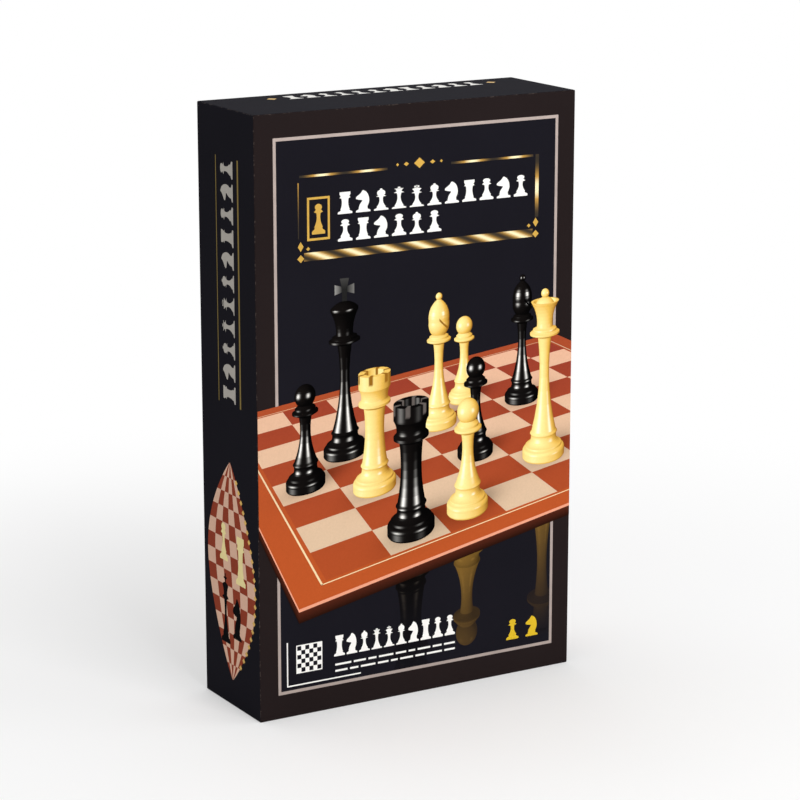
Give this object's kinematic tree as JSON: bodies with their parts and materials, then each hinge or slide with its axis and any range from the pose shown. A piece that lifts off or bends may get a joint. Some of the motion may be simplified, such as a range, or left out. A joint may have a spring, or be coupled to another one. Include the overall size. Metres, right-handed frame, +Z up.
{
  "type": "boxed chess set",
  "caption": "Upright card box with a full-depth lift-off lid, holding a moulded tray of turned chess men, a rules leaflet and a half-fold chess board.",
  "frame": {"origin": "centre of the closed box's footprint, on the surface that its short end stands on", "axes": "+Z up along the box's long sides, printed front towards -Y, +X to the right seen from the front"},
  "size_m": [0.161, 0.052, 0.267],
  "materials": {
    "greyboard": "matte grey chipboard",
    "printed_wrap": "black printed paper with a satin film",
    "black_wrap": "plain black paper",
    "tray_sheet": "vacuum-formed polystyrene sheet, satin",
    "board_card": "grey board core",
    "playing_face": "printed paper with a satin varnish",
    "board_lining": "black grained lining paper",
    "leaflet_paper": "uncoated white paper",
    "cream_plastic": "moulded polystyrene, polished",
    "black_plastic": "moulded polystyrene, polished"
  },
  "bodies": {
    "base": {"base_shell": "greyboard", "base_wrap": "black_wrap", "tray": "tray_sheet"},
    "lid": {"lid_shell": "greyboard", "lid_wrap": "printed_wrap"},
    "board_back": {"board_back_core": "board_card", "board_back_face": "playing_face", "board_back_lining": "board_lining"},
    "board_front": {"board_front_core": "board_card", "board_front_face": "playing_face", "board_front_lining": "board_lining"},
    "leaflet": {"leaflet": "leaflet_paper"},
    "cream_king": {"cream_king": "cream_plastic"},
    "cream_queen": {"cream_queen": "cream_plastic"},
    "cream_bishop_1": {"cream_bishop_1": "cream_plastic"},
    "cream_bishop_2": {"cream_bishop_2": "cream_plastic"},
    "cream_knight_1": {"cream_knight_1": "cream_plastic"},
    "cream_knight_2": {"cream_knight_2": "cream_plastic"},
    "cream_rook_1": {"cream_rook_1": "cream_plastic"},
    "cream_rook_2": {"cream_rook_2": "cream_plastic"},
    "cream_pawn_1": {"cream_pawn_1": "cream_plastic"},
    "cream_pawn_2": {"cream_pawn_2": "cream_plastic"},
    "cream_pawn_3": {"cream_pawn_3": "cream_plastic"},
    "cream_pawn_4": {"cream_pawn_4": "cream_plastic"},
    "cream_pawn_5": {"cream_pawn_5": "cream_plastic"},
    "cream_pawn_6": {"cream_pawn_6": "cream_plastic"},
    "cream_pawn_7": {"cream_pawn_7": "cream_plastic"},
    "cream_pawn_8": {"cream_pawn_8": "cream_plastic"},
    "black_king": {"black_king": "black_plastic"},
    "black_queen": {"black_queen": "black_plastic"},
    "black_bishop_1": {"black_bishop_1": "black_plastic"},
    "black_bishop_2": {"black_bishop_2": "black_plastic"},
    "black_knight_1": {"black_knight_1": "black_plastic"},
    "black_knight_2": {"black_knight_2": "black_plastic"},
    "black_rook_1": {"black_rook_1": "black_plastic"},
    "black_rook_2": {"black_rook_2": "black_plastic"},
    "black_pawn_1": {"black_pawn_1": "black_plastic"},
    "black_pawn_2": {"black_pawn_2": "black_plastic"},
    "black_pawn_3": {"black_pawn_3": "black_plastic"},
    "black_pawn_4": {"black_pawn_4": "black_plastic"},
    "black_pawn_5": {"black_pawn_5": "black_plastic"},
    "black_pawn_6": {"black_pawn_6": "black_plastic"},
    "black_pawn_7": {"black_pawn_7": "black_plastic"},
    "black_pawn_8": {"black_pawn_8": "black_plastic"}
  },
  "joints": [
    {"name": "lid_lift", "type": "slide", "parent": "base", "child": "lid", "axis": [0, -1, 0], "range_m": [0, 0.5]},
    {"name": "board_lift", "type": "slide", "parent": "base", "child": "board_back", "axis": [0, -1, 0], "range_m": [0, 0.09]},
    {"name": "board_unfold", "type": "hinge", "parent": "board_back", "child": "board_front", "pos_m": [-0.0644, -0.0209, 0.1335], "axis": [0, 0, -1], "range_deg": [0, 180]},
    {"name": "leaflet_lift", "type": "slide", "parent": "base", "child": "leaflet", "axis": [0, -1, 0], "range_m": [0, 0.065]},
    {"name": "cream_king_lift", "type": "slide", "parent": "base", "child": "cream_king", "axis": [0, -1, 0], "range_m": [0, 0.045]},
    {"name": "cream_queen_lift", "type": "slide", "parent": "base", "child": "cream_queen", "axis": [0, -1, 0], "range_m": [0, 0.045]},
    {"name": "cream_bishop_1_lift", "type": "slide", "parent": "base", "child": "cream_bishop_1", "axis": [0, -1, 0], "range_m": [0, 0.045]},
    {"name": "cream_bishop_2_lift", "type": "slide", "parent": "base", "child": "cream_bishop_2", "axis": [0, -1, 0], "range_m": [0, 0.045]},
    {"name": "cream_knight_1_lift", "type": "slide", "parent": "base", "child": "cream_knight_1", "axis": [0, -1, 0], "range_m": [0, 0.045]},
    {"name": "cream_knight_2_lift", "type": "slide", "parent": "base", "child": "cream_knight_2", "axis": [0, -1, 0], "range_m": [0, 0.045]},
    {"name": "cream_rook_1_lift", "type": "slide", "parent": "base", "child": "cream_rook_1", "axis": [0, -1, 0], "range_m": [0, 0.045]},
    {"name": "cream_rook_2_lift", "type": "slide", "parent": "base", "child": "cream_rook_2", "axis": [0, -1, 0], "range_m": [0, 0.045]},
    {"name": "cream_pawn_1_lift", "type": "slide", "parent": "base", "child": "cream_pawn_1", "axis": [0, -1, 0], "range_m": [0, 0.045]},
    {"name": "cream_pawn_2_lift", "type": "slide", "parent": "base", "child": "cream_pawn_2", "axis": [0, -1, 0], "range_m": [0, 0.045]},
    {"name": "cream_pawn_3_lift", "type": "slide", "parent": "base", "child": "cream_pawn_3", "axis": [0, -1, 0], "range_m": [0, 0.045]},
    {"name": "cream_pawn_4_lift", "type": "slide", "parent": "base", "child": "cream_pawn_4", "axis": [0, -1, 0], "range_m": [0, 0.045]},
    {"name": "cream_pawn_5_lift", "type": "slide", "parent": "base", "child": "cream_pawn_5", "axis": [0, -1, 0], "range_m": [0, 0.045]},
    {"name": "cream_pawn_6_lift", "type": "slide", "parent": "base", "child": "cream_pawn_6", "axis": [0, -1, 0], "range_m": [0, 0.045]},
    {"name": "cream_pawn_7_lift", "type": "slide", "parent": "base", "child": "cream_pawn_7", "axis": [0, -1, 0], "range_m": [0, 0.045]},
    {"name": "cream_pawn_8_lift", "type": "slide", "parent": "base", "child": "cream_pawn_8", "axis": [0, -1, 0], "range_m": [0, 0.045]},
    {"name": "black_king_lift", "type": "slide", "parent": "base", "child": "black_king", "axis": [0, -1, 0], "range_m": [0, 0.045]},
    {"name": "black_queen_lift", "type": "slide", "parent": "base", "child": "black_queen", "axis": [0, -1, 0], "range_m": [0, 0.045]},
    {"name": "black_bishop_1_lift", "type": "slide", "parent": "base", "child": "black_bishop_1", "axis": [0, -1, 0], "range_m": [0, 0.045]},
    {"name": "black_bishop_2_lift", "type": "slide", "parent": "base", "child": "black_bishop_2", "axis": [0, -1, 0], "range_m": [0, 0.045]},
    {"name": "black_knight_1_lift", "type": "slide", "parent": "base", "child": "black_knight_1", "axis": [0, -1, 0], "range_m": [0, 0.045]},
    {"name": "black_knight_2_lift", "type": "slide", "parent": "base", "child": "black_knight_2", "axis": [0, -1, 0], "range_m": [0, 0.045]},
    {"name": "black_rook_1_lift", "type": "slide", "parent": "base", "child": "black_rook_1", "axis": [0, -1, 0], "range_m": [0, 0.045]},
    {"name": "black_rook_2_lift", "type": "slide", "parent": "base", "child": "black_rook_2", "axis": [0, -1, 0], "range_m": [0, 0.045]},
    {"name": "black_pawn_1_lift", "type": "slide", "parent": "base", "child": "black_pawn_1", "axis": [0, -1, 0], "range_m": [0, 0.045]},
    {"name": "black_pawn_2_lift", "type": "slide", "parent": "base", "child": "black_pawn_2", "axis": [0, -1, 0], "range_m": [0, 0.045]},
    {"name": "black_pawn_3_lift", "type": "slide", "parent": "base", "child": "black_pawn_3", "axis": [0, -1, 0], "range_m": [0, 0.045]},
    {"name": "black_pawn_4_lift", "type": "slide", "parent": "base", "child": "black_pawn_4", "axis": [0, -1, 0], "range_m": [0, 0.045]},
    {"name": "black_pawn_5_lift", "type": "slide", "parent": "base", "child": "black_pawn_5", "axis": [0, -1, 0], "range_m": [0, 0.045]},
    {"name": "black_pawn_6_lift", "type": "slide", "parent": "base", "child": "black_pawn_6", "axis": [0, -1, 0], "range_m": [0, 0.045]},
    {"name": "black_pawn_7_lift", "type": "slide", "parent": "base", "child": "black_pawn_7", "axis": [0, -1, 0], "range_m": [0, 0.045]},
    {"name": "black_pawn_8_lift", "type": "slide", "parent": "base", "child": "black_pawn_8", "axis": [0, -1, 0], "range_m": [0, 0.045]}
  ],
  "couplings": [
    {"joint": "board_lift", "follows": "lid_lift", "ratio": 0.18},
    {"joint": "board_unfold", "follows": "lid_lift", "rad_per_m": 6.2832},
    {"joint": "leaflet_lift", "follows": "lid_lift", "ratio": 0.13},
    {"joint": "cream_king_lift", "follows": "lid_lift", "ratio": 0.09},
    {"joint": "cream_queen_lift", "follows": "lid_lift", "ratio": 0.09},
    {"joint": "cream_bishop_1_lift", "follows": "lid_lift", "ratio": 0.09},
    {"joint": "cream_bishop_2_lift", "follows": "lid_lift", "ratio": 0.09},
    {"joint": "cream_knight_1_lift", "follows": "lid_lift", "ratio": 0.09},
    {"joint": "cream_knight_2_lift", "follows": "lid_lift", "ratio": 0.09},
    {"joint": "cream_rook_1_lift", "follows": "lid_lift", "ratio": 0.09},
    {"joint": "cream_rook_2_lift", "follows": "lid_lift", "ratio": 0.09},
    {"joint": "cream_pawn_1_lift", "follows": "lid_lift", "ratio": 0.09},
    {"joint": "cream_pawn_2_lift", "follows": "lid_lift", "ratio": 0.09},
    {"joint": "cream_pawn_3_lift", "follows": "lid_lift", "ratio": 0.09},
    {"joint": "cream_pawn_4_lift", "follows": "lid_lift", "ratio": 0.09},
    {"joint": "cream_pawn_5_lift", "follows": "lid_lift", "ratio": 0.09},
    {"joint": "cream_pawn_6_lift", "follows": "lid_lift", "ratio": 0.09},
    {"joint": "cream_pawn_7_lift", "follows": "lid_lift", "ratio": 0.09},
    {"joint": "cream_pawn_8_lift", "follows": "lid_lift", "ratio": 0.09},
    {"joint": "black_king_lift", "follows": "lid_lift", "ratio": 0.09},
    {"joint": "black_queen_lift", "follows": "lid_lift", "ratio": 0.09},
    {"joint": "black_bishop_1_lift", "follows": "lid_lift", "ratio": 0.09},
    {"joint": "black_bishop_2_lift", "follows": "lid_lift", "ratio": 0.09},
    {"joint": "black_knight_1_lift", "follows": "lid_lift", "ratio": 0.09},
    {"joint": "black_knight_2_lift", "follows": "lid_lift", "ratio": 0.09},
    {"joint": "black_rook_1_lift", "follows": "lid_lift", "ratio": 0.09},
    {"joint": "black_rook_2_lift", "follows": "lid_lift", "ratio": 0.09},
    {"joint": "black_pawn_1_lift", "follows": "lid_lift", "ratio": 0.09},
    {"joint": "black_pawn_2_lift", "follows": "lid_lift", "ratio": 0.09},
    {"joint": "black_pawn_3_lift", "follows": "lid_lift", "ratio": 0.09},
    {"joint": "black_pawn_4_lift", "follows": "lid_lift", "ratio": 0.09},
    {"joint": "black_pawn_5_lift", "follows": "lid_lift", "ratio": 0.09},
    {"joint": "black_pawn_6_lift", "follows": "lid_lift", "ratio": 0.09},
    {"joint": "black_pawn_7_lift", "follows": "lid_lift", "ratio": 0.09},
    {"joint": "black_pawn_8_lift", "follows": "lid_lift", "ratio": 0.09}
  ]
}
